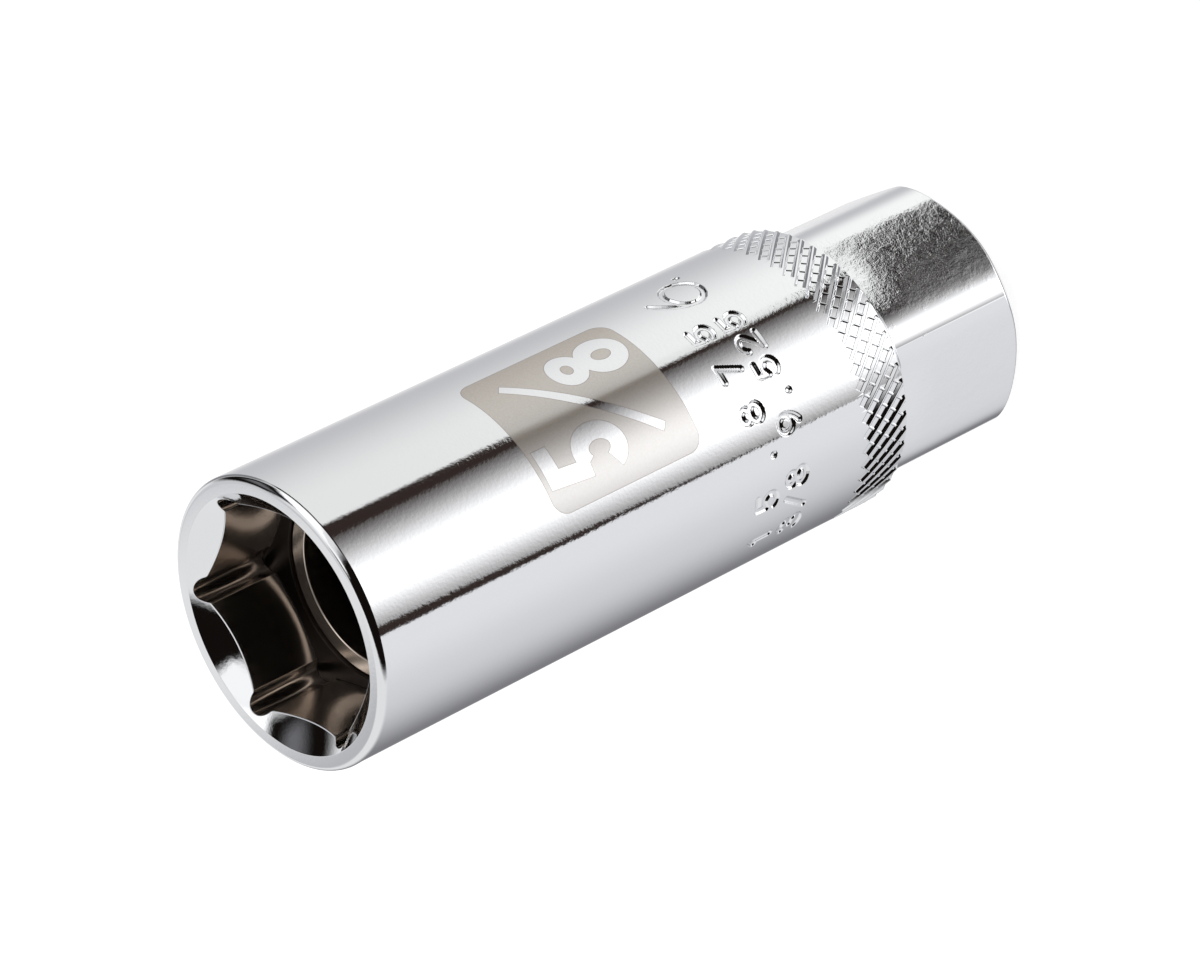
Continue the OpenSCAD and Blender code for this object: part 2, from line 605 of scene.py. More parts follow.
@dataclass(frozen=True)
class ForgedChrome:
    """Chrome plate over forged flats that were only partly polished: cloudy fields of pits in a mirror.

    Attributes:
        name: Name of the material.
        colour: Colour of the plate.
        roughness: Roughness of the mirror.
        cloudy: Roughness of the pitted fields.
        patch_mm: Size of the fields.
        patch_lift: How much more of the flats than of the corners the fields cover.
        patch_span: Values between which a field goes from clear to full.
        pit_mm: Size of the clusters of pits; single pits are its finer layers.
        pit_rise_mm: Height of the clusters.
        drawn: Width of the pits over their length along the axis.
        flat_half: Angle from a flat's middle at which no pits are left.
        flat_full: Angle from a flat's middle up to which the pits are full.
        polished_above: Height at which the pits start to fade.
        polish_fade: Height over which they fade.
    """

    name: str = "chrome_plate_on_forged_steel"
    colour: str = "#DCDDDF"
    roughness: float = 0.05
    cloudy: float = 0.06
    patch_mm: float = 2.2
    patch_lift: float = 0.4
    patch_span: Span = (0.6, 0.95)
    pit_mm: float = 0.9
    pit_rise_mm: float = 0.022
    drawn: float = 0.45
    flat_half: float = 26.0
    flat_full: float = 15.6
    polished_above: float = 11.0
    polish_fade: float = 2.4

    def material(self) -> bpy.types.Material:
        """Makes the material.

        Returns:
            The material, with its nodes.
        """
        material, tree, place = new_material(self.name)
        parts = add_node(tree, "ShaderNodeSeparateXYZ", {0: place}).outputs
        turn = math(tree, "DEGREES", math(tree, "ARCTAN2", parts[1], parts[0]))
        # The six flats have their middles at every sixty degrees
        away = math(tree, "PINGPONG", turn, 30.0)
        flat = add_node(tree, "ShaderNodeMapRange", {0: away, 1: self.flat_half, 2: self.flat_full})
        low = add_node(tree, "ShaderNodeMapRange",
                       {0: parts[2], 1: self.polished_above + self.polish_fade, 2: self.polished_above})
        rough_part = math(tree, "MULTIPLY", flat.outputs[0], low.outputs[0])
        patch = noise(tree, place, self.patch_mm, 5.0, 0.75)
        cloud = math(tree, "MULTIPLY_ADD", rough_part, self.patch_lift, patch)
        share = add_node(tree, "ShaderNodeMapRange",
                         {0: cloud, 1: self.patch_span[0], 2: self.patch_span[1]}).outputs[0]
        pits = noise(tree, scaled(tree, place, (1.0, 1.0, self.drawn)), self.pit_mm, 5.0, 0.7)
        normal = bumped(tree, math(tree, "MULTIPLY", pits, share), self.pit_rise_mm)
        rough = add_node(tree, "ShaderNodeMapRange", {0: share, 3: self.roughness, 4: self.cloudy})
        shader = metal(tree, linear(self.colour), rough.outputs[0], Normal=normal)
        add_node(tree, "ShaderNodeOutputMaterial", {"Surface": shader})
        return material


@dataclass(frozen=True)
class TurnedNickel:
    """Nickel plate on a turned face: warm grey, with highlights drawn out across its fine rings."""

    name: str = "nickel_plate_on_turned_magnet"
    colour: str = "#D6CCC2"
    roughness: float = 0.25
    anisotropy: float = 0.6
    ring_mm: float = 0.12
    ring_rise_mm: float = 0.0012

    def material(self) -> bpy.types.Material:
        """Makes the material.

        Returns:
            The material, with its nodes.
        """
        material, tree, place = new_material(self.name)
        parts = add_node(tree, "ShaderNodeSeparateXYZ", {0: place})
        level = add_node(tree, "ShaderNodeCombineXYZ", {0: parts.outputs[0], 1: parts.outputs[1]})
        reach = add_node(tree, "ShaderNodeVectorMath", {0: level.outputs[0]}, operation="LENGTH")
        spread = add_node(tree, "ShaderNodeCombineXYZ", {0: reach.outputs["Value"], 2: parts.outputs[2]})
        normal = bumped(tree, noise(tree, spread.outputs[0], self.ring_mm, 2.0, 0.6), self.ring_rise_mm)
        around = add_node(tree, "ShaderNodeTangent", direction_type="RADIAL", axis="Z")
        shader = metal(tree, linear(self.colour), self.roughness, Normal=normal,
                       Anisotropic=self.anisotropy, Tangent=around.outputs[0])
        add_node(tree, "ShaderNodeOutputMaterial", {"Surface": shader})
        return material


# Marks on the round body


class StrokeNumbers:
    """Plain stroked numerals, drawn in a box one unit high and WIDTH wide."""

    WIDTH = 0.7

    @classmethod
    def strokes(cls, sign: str) -> list[Path2D]:
        """Centre lines of one sign.

        Args:
            sign: A numeral, a point or a slash.

        Returns:
            Its strokes, each a list of points.
        """
        middle = cls.WIDTH / 2
        bowl = arc((0.33, 0.32), (0.33, 0.32), 128, -145)
        hook = arc((middle, 0.72), (0.32, 0.28), 165, -38)
        tail = arc((-0.25, 0.68), (0.92, 0.86), 0, -52, 8)
        ring = arc((middle, 0.68), (0.33, 0.32), 0, 360)
        table: dict[str, list[Path2D]] = {
            "1": [[(0.14, 0.76), (middle, 1.0), (middle, 0.0)]],
            "2": [hook + [(0.02, 0.0), (0.69, 0.0)]],
            "3": [arc((0.32, 0.75), (0.28, 0.25), 155, -90), arc((0.32, 0.26), (0.34, 0.26), 90, -150)],
            "5": [[(0.63, 1.0), (0.12, 1.0), (0.08, 0.53)] + bowl[2:]],
            "6": [[(cls.WIDTH - x, 1.0 - y) for x, y in stroke] for stroke in (ring, tail)],
            "7": [[(0.03, 1.0), (0.67, 1.0), (0.27, 0.0)]],
            "8": [arc((middle, 0.76), (0.27, 0.24), 0, 360), arc((middle, 0.26), (0.33, 0.26), 0, 360)],
            "9": [ring, tail],
            ".": [[(middle, 0.0), (middle, 0.04)]],
            "/": [[(0.02, -0.02), (0.68, 1.02)]],
        }
        return table.get(sign, [])


@dataclass(frozen=True)
class StampRow:
    """One row of stamped numbers.

    Attributes:
        text: The signs, a space for a gap.
        start: Angle of the first sign's middle, from the middle of the marked side.
        pitch: Angle between signs.
        base: Height of the row's base line.
        size: Height of the signs.
    """

    text: str
    start: float
    pitch: float
    base: float
    size: float


@dataclass(frozen=True)
class StampedMarks:
    """Sizes stamped into the body as grooves with soft edges.

    Attributes:
        rows: Rows of numbers.
        groove_floor: Distance from a stroke's middle to the edge of the groove's floor.
        groove_edge: Distance from a stroke's middle to the plain body.
        depth: Depth of the grooves.
        low: Lower edge of the band that carries them.
        high: Upper edge of the band.
        first: Angle from the middle of the marked side at which the fine mesh starts.
        last: Angle at which it ends.
        column_step: Angle between the fine mesh's columns.
        row_step: Height between its rows.
    """

    rows: tuple[StampRow, ...] = (
        StampRow("15.875", -61.0, 17.95, 27.35, 1.9),
        StampRow("3/8 9.525", -61.0, 11.2, 24.35, 1.9),
        StampRow("6.", 52.0, 11.6, 24.4, 4.8),
    )
    groove_floor: float = 0.1
    groove_edge: float = 0.31
    depth: float = 0.15
    low: float = 23.7
    high: float = 29.95
    first: float = -70.0
    last: float = 69.0
    column_step: float = 0.4
    row_step: float = 0.075

    def segments(self) -> np.ndarray:
        """All strokes as rows of two points, unrolled: along the body's girth and up its height."""
        rows = []
        for row in self.rows:
            for place, sign in enumerate(row.text):
                middle = np.radians(row.start + place * row.pitch) * BODY_R
                left = middle - StrokeNumbers.WIDTH / 2 * row.size
                for stroke in StrokeNumbers.strokes(sign):
                    points = np.array(stroke) * row.size + (left, row.base)
                    rows.append(np.concatenate([points[:-1], points[1:]], 1))
        return np.concatenate(rows)

    def relief(self, girth: np.ndarray, height: np.ndarray) -> np.ndarray:
        """Height of the stamped surface above the plain body.

        Args:
            girth: Distance round the body from the middle of the marked side.
            height: Height above the floor.

        Returns:
            The relief at each point, 0 on the plain body and below it in a groove.
        """
        nearest = np.full(girth.shape, 1e9)
        for ax, ay, bx, by in self.segments():
            span = max((bx - ax) ** 2 + (by - ay) ** 2, 1e-9)
            along = np.clip(((girth - ax) * (bx - ax) + (height - ay) * (by - ay)) / span, 0, 1)
            square = (girth - ax - along * (bx - ax)) ** 2 + (height - ay - along * (by - ay)) ** 2
            np.minimum(nearest, square, out=nearest)
        away = np.sqrt(nearest)
        return -self.depth * (1 - smooth(self.groove_floor, self.groove_edge, away))


@dataclass(frozen=True)
class SizeField:
    """Etched field with the plug's size left polished as a diagonal fraction."""

    low: float = 33.3
    high: float = 47.4
    first: float = -10.3
    last: float = 56.5
    corner: float = 1.3
    stain: float = 0.06
    patch_first: float = -12.0
    patch_last: float = 58.0
    patch_low: float = 32.6
    patch_high: float = 48.0

    def ribbons(self, grow: float) -> list[list[np.ndarray]]:
        """Polished strokes of the fraction.

        Args:
            grow: How much wider than the strokes the outlines are.

        Returns:
            Each stroke as one outline, or as an outer and an inner one.
        """
        girth = np.radians(1.0) * BODY_R
        top = np.array([-2.9 * girth, 39.25])
        low = np.array([31.0 * girth, 33.95])
        bowl = arc((1.8, 2.35), (1.36, 1.67), 120, -150, 28)
        stem = [(3.55, 7.0), (1.12, 7.0), (0.82, 3.75)]
        slash = [(3.2 * girth, 35.75), (46.1 * girth, 44.85)]
        shapes = [
            self.ribbon(np.array(stem) + top, 1.3, grow, False),
            self.ribbon(np.array(bowl) + top, 1.4, grow, False),
            self.ribbon(np.array(slash), 0.72, grow, False),
            self.ribbon(np.array(arc((1.84, 5.4), (1.08, 1.04), 0, 360, 36)) + low, 1.1, grow, True),
            self.ribbon(np.array(arc((1.84, 2.12), (1.2, 1.49), 0, 360, 40)) + low, 1.26, grow, True),
        ]
        return [[self.dense(outline) for outline in shape] for shape in shapes]

    @staticmethod
    def ribbon(line: np.ndarray, width: float, grow: float, closed: bool) -> list[np.ndarray]:
        """Outline of a stroke.

        Args:
            line: Points along its middle.
            width: Its width.
            grow: How much wider and longer the outline is.
            closed: Whether its ends meet.

        Returns:
            One outline, or an outer and an inner one for a closed stroke.
        """
        line = line[:-1] if closed else line
        ahead, behind = np.roll(line, -1, 0) - line, line - np.roll(line, 1, 0)
        if not closed:
            ahead[-1], behind[0] = behind[-1], ahead[0]
        ahead /= np.linalg.norm(ahead, axis=1)[:, None]
        behind /= np.linalg.norm(behind, axis=1)[:, None]
        along = ahead + behind
        along /= np.linalg.norm(along, axis=1)[:, None]
        reach = (width + grow) / 2 / np.maximum((along * ahead).sum(1), 0.3)
        side = np.stack([-along[:, 1], along[:, 0]], 1) * reach[:, None]
        if closed:
            return [line + side, line - side]
        line = line.copy()
        line[0] -= along[0] * grow / 2
        line[-1] += along[-1] * grow / 2
        return [np.concatenate([line + side, (line - side)[::-1]])]

    def frame(self, inset: float) -> np.ndarray:
        """Outline of the etched field with its round corners, drawn in by an inset."""
        girth = np.radians(1.0) * BODY_R
        left, right, c, r = self.first * girth, self.last * girth, self.corner, self.corner - inset
        corners = ((right - c, self.high - c, 0), (left + c, self.high - c, 90),
                   (left + c, self.low + c, 180), (right - c, self.low + c, 270))
        rounded = [arc((x, y), (r, r), turn, turn + 90, 8) for x, y, turn in corners]
        return self.dense(np.concatenate(rounded))

    def within(self, shapes: list[list[np.ndarray]], points: np.ndarray) -> np.ndarray:
        """Which points lie on any of the strokes.

        Args:
            shapes: Strokes as from ribbons().
            points: Points to test.

        Returns:
            True for each point on a stroke.
        """
        found = np.zeros(len(points), bool)
        for shape in shapes:
            inside = np.zeros(len(points), bool)
            for outline in shape:
                inside ^= self.inside(outline, points)
            found |= inside
        return found

    @staticmethod
    def dense(outline: np.ndarray, longest: float = 0.3) -> np.ndarray:
        """Splits the long sides of a closed outline, so that they follow the round body.

        Args:
            outline: Points of the outline.
            longest: Longest side that stays whole.

        Returns:
            The outline with its added points.
        """
        rows = []
        for start, end in zip(outline, np.roll(outline, -1, 0)):
            count = max(1, int(np.ceil(np.linalg.norm(end - start) / longest)))
            rows.append(start + np.outer(np.arange(count) / count, end - start))
        return np.concatenate(rows)

    @staticmethod
    def inside(outline: np.ndarray, points: np.ndarray) -> np.ndarray:
        """Which points lie inside a closed outline.

        Args:
            outline: Points of the outline.
            points: Points to test.

        Returns:
            True for each point inside.
        """
        result = np.zeros(len(points), bool)
        x, y = points.T
        for (ax, ay), (bx, by) in zip(outline, np.roll(outline, -1, 0)):
            if ay != by:
                result ^= ((ay > y) != (by > y)) & (x < (bx - ax) * (y - ay) / (by - ay) + ax)
        return result

    def patch(self, skin: Skin, edge: np.ndarray, edge_points: np.ndarray, columns: np.ndarray,
              rows: np.ndarray) -> None:
        """Fills the marked patch of the body with etched and polished faces.

        Args:
            skin: Mesh that gets the patch.
            edge: Numbers of the points round the patch, in order.
            edge_points: Their places, unrolled.
            columns: Girths of the plain columns inside the patch.
            rows: Heights of the plain rows inside the patch.
        """
        polished, stained = self.ribbons(0.0), self.ribbons(2 * self.stain)
        outlines = [edge_points, self.frame(0.0), self.frame(self.stain)]
        outlines += [outline for shape in polished + stained for outline in shape]
        spread = np.array([(x, y) for x in columns for y in rows])
        points, lines = [], []
        for outline in outlines:
            start, count = sum(map(len, points)), len(outline)
            points.append(outline)
            lines += [(start + i, start + (i + 1) % count) for i in range(count)]
        points.append(spread)
        flat = np.concatenate(points)
        corners = [Vector(p) for p in flat.tolist()]
        made, _, faces, origins, _, _ = delaunay_2d_cdt(corners, lines, [], 0, 1e-5)
        made = np.array([tuple(p) for p in made])
        out, _ = axes(made[:, 0] / BODY_R + np.radians(MARK_SIDE))
        index = skin.add(out * BODY_R + np.outer(made[:, 1], (0, 0, 1)), out)
        for number, origin in enumerate(origins):
            for source in origin:
                if source < len(edge):
                    index[number] = edge[source]
        faces = np.array([f for f in faces if len(f) == 3])
        centre = made[faces].mean(1)
        bright = self.within(polished, centre) | ~self.inside(outlines[1], centre)
        matt = self.inside(outlines[2], centre) & ~self.within(stained, centre)
        skin.fill(index[faces[bright]], Finish.CHROME)
        skin.fill(index[faces[matt]], Finish.ETCHED)
        skin.fill(index[faces[~bright & ~matt]], Finish.ETCH_EDGE)


@dataclass(frozen=True)
class KnurledBand:
    """Diamond knurl: pits with sloping walls between full ridges one way and low bars the other way.

    Attributes:
        count: Number of pits in one ring.
        rings: Number of rings.
        angle: Angle between the ridges and the axis.
        depth: Depth of the pits.
        ridge: Width of the ridges' tops.
        ridge_slope: Width of the walls beside them.
        bar: Width of the bars' tops.
        bar_slope: Width of the walls beside them.
        bar_share: Height of the bars over that of the ridges.
        base: Height of the lowest tips.
        ridge_samples: Places of the mesh's rows between two ridges, close together where walls start and end.
        bar_samples: The same between two bars.
    """

    count: int = 54
    rings: int = 5
    angle: float = 40.0
    depth: float = 0.2
    ridge: float = 0.14
    ridge_slope: float = 0.2
    bar: float = 0.08
    bar_slope: float = 0.07
    bar_share: float = 0.36
    base: float = 14.06
    ridge_samples: tuple[float, ...] = (0.0, 0.04, 0.09, 0.19, 0.24, 0.31, 0.69, 0.76, 0.81, 0.91, 0.96, 1.0)
    bar_samples: tuple[float, ...] = (0.0, 0.025, 0.06, 0.095, 0.13, 0.3, 0.7, 0.87, 0.905, 0.94, 0.975, 1.0)

    @property
    def pitch(self) -> float:
        """Distance between pits round the body."""
        return 2 * np.pi * BODY_R / self.count

    @property
    def step(self) -> float:
        """Height between rings of pits."""
        return self.pitch / 2 / np.tan(np.radians(self.angle))

    @property
    def top(self) -> float:
        """Height of the front tips of the first ring of pits."""
        return self.base + (self.rings + 1) * self.step

    def relief(self, turns: np.ndarray, drop: np.ndarray) -> np.ndarray:
        """Height of the knurl above the plain body, at most 0.

        Args:
            turns: Place round the body, in pitches.
            drop: Distance below the front tips, in ring steps.

        Returns:
            The relief at each point.
        """
        cell = self.pitch * np.cos(np.radians(self.angle))
        bar_room = np.abs((drop / 2 + turns + 0.5) % 1.0 - 0.5) * cell - self.bar / 2
        ridge_room = np.abs((drop / 2 - turns + 0.5) % 1.0 - 0.5) * cell - self.ridge / 2
        # The bars that close the front ends of the grooves are as high as the ridges
        share = 1.0 - (1.0 - self.bar_share) * smooth(0.85, 1.15, drop)
        off_ridge = 1.0 - np.clip(ridge_room / self.ridge_slope, 0.0, 1.0)
        off_bar = share * (1.0 - np.clip(bar_room / self.bar_slope, 0.0, 1.0))
        return -self.depth * (1.0 - np.maximum(off_ridge, off_bar))

    def build(self, skin: Skin) -> tuple[Loop, Loop, np.ndarray]:
        """Adds the band.

        Args:
            skin: Mesh that gets the band.

        Returns:
            The zigzag loop along its front, the loop along its back and the relief of that loop, where the
            grooves run out.
        """
        n = len(self.ridge_samples) - 1
        around = 2 * n * self.count
        number: dict[tuple[int, int], int] = {}
        turns, drops, faces = [], [], []

        def point(cell: int, ring: int, i: int, j: int) -> int:
            """Number of one point of a cell's own grid, made when it is first asked for."""
            key = ((2 * n * cell + n * (ring % 2) + i - j) % around, n * ring + i + j)
            if key not in number:
                number[key] = len(turns)
                turns.append(cell + (ring % 2) / 2 + (self.bar_samples[i] - self.ridge_samples[j]) / 2)
                drops.append(ring + self.bar_samples[i] + self.ridge_samples[j])
            return number[key]

        for ring in range(self.rings + 1):
            for cell in range(self.count):
                for i in range(n):
                    for j in range(n if ring < self.rings else n - i):
                        corners = [point(cell, ring, i, j), point(cell, ring, i, j + 1)]
                        if ring < self.rings or i + j + 2 <= n:
                            corners.append(point(cell, ring, i + 1, j + 1))
                        faces.append(corners + [point(cell, ring, i + 1, j)])
        front = [p for c in range(self.count) for p in
                 [point(c, 0, i, 0) for i in range(n)] + [point(c + 1, 0, 0, j) for j in range(n, 0, -1)]]
        back = [point(c, self.rings, i, n - i) for c in range(self.count) for i in range(n)]
        turn, drop = np.array(turns), np.array(drops)
        rise = self.relief(turn, drop)
        round_slope, down_slope = slopes(self.relief, turn, drop, (self.pitch, self.step))
        angle = turn * 2 * np.pi / self.count
        out, side = axes(angle)
        up = np.array([0.0, 0.0, 1.0])
        points = out * (BODY_R + rise)[:, None] + np.outer(self.top - drop * self.step, up)
        index = skin.add(points, out - side * round_slope[:, None] + np.outer(down_slope, up))
        for face in faces:
            skin.faces.append([int(index[p]) for p in face])
            skin.finishes.append(int(Finish.CHROME))
        front_loop, back_loop = (Loop(index[row], angle[row] % (2 * np.pi)) for row in (front, back))
        return front_loop, back_loop, rise[back]


# Body of the socket


@dataclass
class PlugMouth:
    """Open end: lead-in, relieved hexagon, dished floor and the seat of the magnet."""

    half: float = 7.9875
    relief_r: float = 1.05
    relief_reach: float = 0.28
    turn: float = 6.0
    depth: float = PLUG_DEPTH
    lead_round: float = 13.8
    floor_round: float = 31.0
    seat_r: float = 7.25
    rim_round: float = RIM_ROUND
    rim_land: float = 0.7
    mouth_edge: float = 0.025
    land_tilt: float = 86.0
    lip: float = 0.05
    lip_tilt: float = 78.0
    lip_sink: float = 0.01
    groove_lip: float = 0.015

    @property
    def mouth_r(self) -> float:
        """Radius of the mouth's edge."""
        return BODY_R - self.rim_round - self.rim_land

    @property
    def floor(self) -> float:
        """Height of the floor's inner edge."""
        return LENGTH - self.depth

    def lead_height(self, radius: np.ndarray) -> np.ndarray:
        """Height of the dished lead-in at a distance from the axis."""
        rise = np.sqrt(self.lead_round ** 2 - self.mouth_r ** 2)
        return LENGTH + rise - np.sqrt(self.lead_round ** 2 - np.square(radius))

    def floor_height(self, radius: np.ndarray) -> np.ndarray:
        """Height of the dished floor at a distance from the axis."""
        rise = np.sqrt(self.floor_round ** 2 - self.seat_r ** 2)
        return self.floor + rise - np.sqrt(self.floor_round ** 2 - np.square(radius))

    def outline(self) -> Outline:
        """Hexagon with a round relief groove along each corner."""
        centre = self.half / np.cos(np.pi / 6) + self.relief_reach - self.relief_r
        # Where a groove's circle crosses a flat, seen from the groove's own middle
        opening = np.arccos((self.half - centre * np.cos(np.pi / 6)) / self.relief_r) + np.pi / 6
        cross = centre * np.array([np.cos(np.pi / 6), np.sin(np.pi / 6)])
        reach = cross[1] - self.relief_r * np.sin(opening - np.pi / 6)
        points, facing = [], []
        for side in range(6):
            middle = np.radians(self.turn + 30 + 60 * side)
            out, across = (way[:2] for way in axes(middle))
            along = np.linspace(-1, 1, 13) * (reach - EDGE)
            points.append(self.half * out + along[:, None] * across)
            facing.append(np.full(len(along), middle))
            corner = middle + np.pi / 6
            turns = corner + np.linspace(-1, 1, 25) * (opening - EDGE / self.relief_r)
            hub = centre * np.array([np.cos(corner), np.sin(corner)])
            points.append(hub + self.relief_r * np.stack([np.cos(turns), np.sin(turns)], 1))
            facing.append(turns)
        return Outline.from_points(np.concatenate(points), np.concatenate(facing))

    def build(self, skin: Skin, below: Loop) -> Loop:
        """Adds the inside of the mouth, from the magnet's seat up to the rim's land.

        Args:
            skin: Mesh that gets it.
            below: Last loop of the seat, at the floor's inner edge.

        Returns:
            The loop at the inner edge of the rim's land.
        """
        shape = self.outline()
        angle, radius, inwards = shape.angle, shape.radius, shape.facing + np.pi
        axis = angle + np.pi

        def dish_loop(r: np.ndarray, ball: float, height: np.ndarray) -> Loop:
            """Loop at a radius on the dished floor or lead-in."""
            return skin.loop(angle, r, height, axis, np.arccos(r / ball))

        foot, head = self.floor_height(radius), self.lead_height(radius)
        width = radius - self.seat_r - 2 * EDGE
        floor = []
        for share in (0.0, 0.5, 1.0):
            r = self.seat_r + EDGE + width * share
            floor.append(dish_loop(r, self.floor_round, self.floor_height(r)))
        wall = [skin.loop(angle, radius, foot + EDGE + (head - foot - 2 * EDGE) * share, inwards)
                for share in np.linspace(0, 1, 9)]
        on_flat = np.abs(np.sin(3 * (shape.facing - np.radians(self.turn + 30)))) < 1e-6
        worn = np.where(on_flat, self.lip, self.groove_lip)
        lip = []
        for part in (0.4, 1.0):
            r = radius + worn * part
            height = self.lead_height(r) - self.lip_sink
            lip.append(skin.loop(angle, r, height, axis, np.radians(self.lip_tilt)))
        inner = radius + 1.4 * worn
        lead = []
        for share in np.linspace(0, 1, 5):
            r = inner + (self.mouth_r - self.mouth_edge - inner) * share
            lead.append(dish_loop(r, self.lead_round, self.lead_height(r)))
        # The dished floor and its fillet into the walls take the nickel darkened with painted shade
        skin.chain([below] + floor + wall[:1], Finish.SHADED_RECESS)
        skin.chain(wall, Finish.NICKEL)
        skin.chain([wall[-1]] + lip + lead, Finish.CHROME)
        land = skin.loop(angle, self.mouth_r + self.mouth_edge, LENGTH, None, np.radians(self.land_tilt))
        skin.join(lead[-1], land, Finish.CHROME)
        return land


@dataclass
class RoundBody:
    """Outside of the round body, from the rim down to the shoulder above the drive end."""

    rim_round: float = RIM_ROUND
    land_tilt: float = 85.0
    back_bevel: float = BACK_BEVEL
    back_edge: float = 0.02
    drive_len: float = DRIVE_LEN
    knurl_front: float = 0.12
    step: float = 2.0
    marks: StampedMarks = field(default_factory=StampedMarks)
    sizes: SizeField = field(default_factory=SizeField)
    knurl: KnurledBand = field(default_factory=KnurledBand)

    def plain_angles(self) -> np.ndarray:
        """Angles of the plain columns, in radians from the marked side's middle."""
        return np.radians(np.arange(-180.0, 180.0, self.step))

    def build(self, skin: Skin, land: Loop) -> Loop:
        """Adds the outside.

        Args:
            skin: Mesh that gets it.
            land: Loop at the inner edge of the rim's land.

        Returns:
            The loop at the bottom of the bevel behind the knurl.
        """
        side = self.plain_angles()
        angle = side + np.radians(MARK_SIDE)
        rim = []
        for turn in np.radians(np.linspace(90, 0, 10)):
            radius = BODY_R - self.rim_round * (1 - np.cos(turn))
            height = LENGTH - self.rim_round * (1 - np.sin(turn))
            rim.append(skin.loop(angle, radius, height, None, turn * self.land_tilt / 90))
        skin.join(land, rim[0], Finish.CHROME)
        last = skin.chain(rim, Finish.CHROME)
        last = self.size_band(skin, last, side, angle)
        last = self.stamped_band(skin, last)
        front, back, sunk = self.knurl.build(skin)
        shoulder = skin.loop(full_turn(432), BODY_R, self.knurl.top + self.knurl_front)
        skin.chain([last, shoulder, front], Finish.CHROME)
        bevel = np.radians(-45)
        radius, height = BODY_R + sunk, self.drive_len - self.back_edge + sunk
        foot = self.back_bevel - EDGE
        edge = [skin.loop(back.angle, radius, height),
                skin.loop(back.angle, radius - EDGE, height - EDGE, None, bevel),
                skin.loop(back.angle, BODY_R - foot, self.drive_len - foot, None, bevel)]
        return skin.chain([back] + edge, Finish.CHROME)

    def size_band(self, skin: Skin, above: Loop, side: np.ndarray, angle: np.ndarray) -> Loop:
        """Adds the band that carries the etched field.

        Args:
            skin: Mesh that gets it.
            above: Loop above the band.
            side: Angles of the plain columns from the marked side's middle, in radians.
            angle: The same about the axis.

        Returns:
            The band's lowest loop.
        """
        heights = np.linspace(self.sizes.patch_high, self.sizes.patch_low, 12)
        rows = [skin.loop(angle, BODY_R, height) for height in heights]
        skin.join(above, rows[0], Finish.CHROME)
        start = int(np.argmin(np.abs(side - np.radians(self.sizes.patch_first))))
        stop = int(np.argmin(np.abs(side - np.radians(self.sizes.patch_last))))
        for upper, lower in zip(rows, rows[1:]):
            a, b = upper.index, lower.index
            quads = np.stack([a, b, np.roll(b, -1), np.roll(a, -1)], 1)
            skin.fill(np.delete(quads, np.arange(start, stop), 0), Finish.CHROME)
        across, down = np.arange(start, stop + 1), np.arange(len(rows))
        ring = [(0, c) for c in across[::-1]] + [(r, start) for r in down[1:]]
        ring += [(down[-1], c) for c in across[1:]] + [(r, stop) for r in down[-2:0:-1]]
        edge = np.array([rows[r].index[c] for r, c in ring])
        places = np.array([(side[c] * BODY_R, heights[r]) for r, c in ring])
        self.sizes.patch(skin, edge, places, side[across[1:-1]] * BODY_R, heights[1:-1])
        return rows[-1]

    def stamped_band(self, skin: Skin, above: Loop) -> Loop:
        """Adds the band that carries the stamped numbers.

        Args:
            skin: Mesh that gets it.
            above: Loop above the band.

        Returns:
            The band's lowest loop.
        """
        marks = self.marks
        fine = np.radians(np.arange(marks.first, marks.last, marks.column_step))
        coarse = np.radians(np.arange(marks.last, 360.0 + marks.first, 3 * self.step))
        side = np.concatenate([fine, coarse])
        heights = np.linspace(marks.high, marks.low, int((marks.high - marks.low) / marks.row_step))
        girth, height = np.meshgrid(side * BODY_R, heights)
        rise = marks.relief(girth, height)
        round_slope, up_slope = slopes(marks.relief, girth, height)
        angle = side + np.radians(MARK_SIDE)
        out, along = axes(angle)
        up = np.array([0.0, 0.0, 1.0])
        rows = []
        for i, level in enumerate(heights):
            points = out * (BODY_R + rise[i])[:, None] + level * up
            normals = out - along * round_slope[i][:, None] - np.outer(up_slope[i], up)
            rows.append(Loop(skin.add(points, normals), angle))
        skin.join(above, rows[0], Finish.CHROME)
        return skin.chain(rows, Finish.CHROME)


